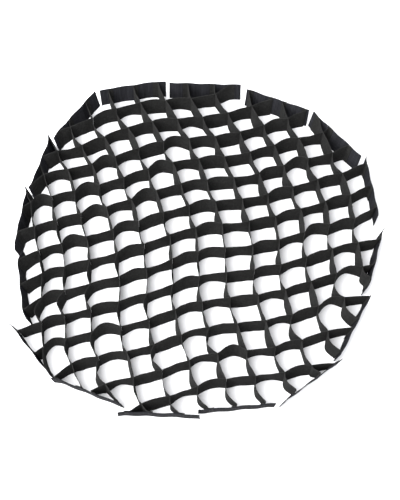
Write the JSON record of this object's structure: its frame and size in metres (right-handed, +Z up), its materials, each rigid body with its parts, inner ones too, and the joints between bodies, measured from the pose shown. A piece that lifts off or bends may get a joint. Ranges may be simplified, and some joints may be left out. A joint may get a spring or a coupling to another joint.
{
  "type": "honeycomb grid",
  "caption": "Fabric egg-crate grid for a round softbox: crossed cloth strips slotted into square cells inside a rim of separate hook tapes.",
  "frame": {"origin": "middle of the whole rim, on the flat surface that the grid lies on", "axes": "+X along the row strips, +Y along the column strips, +Z up, from the edge that rests on the surface to the free edge"},
  "size_m": [0.9284, 0.9149, 0.055],
  "materials": {
    "strip_cloth": "matt black plain-woven nylon cloth with a faint sheen",
    "hook_tape": "black nylon hook tape: ribbed woven back inside, short dense hooks outside"
  },
  "bodies": {
    "root": {"column_strip_01": "strip_cloth", "column_strip_02": "strip_cloth", "column_strip_03": "strip_cloth", "column_strip_04": "strip_cloth", "column_strip_05": "strip_cloth", "column_strip_06": "strip_cloth", "column_strip_07": "strip_cloth", "column_strip_08": "strip_cloth", "column_strip_09": "strip_cloth", "column_strip_10": "strip_cloth", "column_strip_11": "strip_cloth", "column_strip_12": "strip_cloth", "column_strip_13": "strip_cloth", "rim_tape_01": "hook_tape", "rim_tape_02": "hook_tape", "rim_tape_03": "hook_tape", "rim_tape_04": "hook_tape", "rim_tape_05": "hook_tape", "rim_tape_06": "hook_tape", "rim_tape_07": "hook_tape", "rim_tape_08": "hook_tape", "rim_tape_09": "hook_tape", "rim_tape_10": "hook_tape", "rim_tape_11": "hook_tape", "rim_tape_12": "hook_tape", "rim_tape_13": "hook_tape", "rim_tape_14": "hook_tape", "rim_tape_15": "hook_tape", "rim_tape_16": "hook_tape", "row_strip_01": "strip_cloth", "row_strip_02": "strip_cloth", "row_strip_03": "strip_cloth", "row_strip_04": "strip_cloth", "row_strip_05": "strip_cloth", "row_strip_06": "strip_cloth", "row_strip_07": "strip_cloth", "row_strip_08": "strip_cloth", "row_strip_09": "strip_cloth", "row_strip_10": "strip_cloth", "row_strip_11": "strip_cloth", "row_strip_12": "strip_cloth", "row_strip_13": "strip_cloth"}
  },
  "joints": []
}
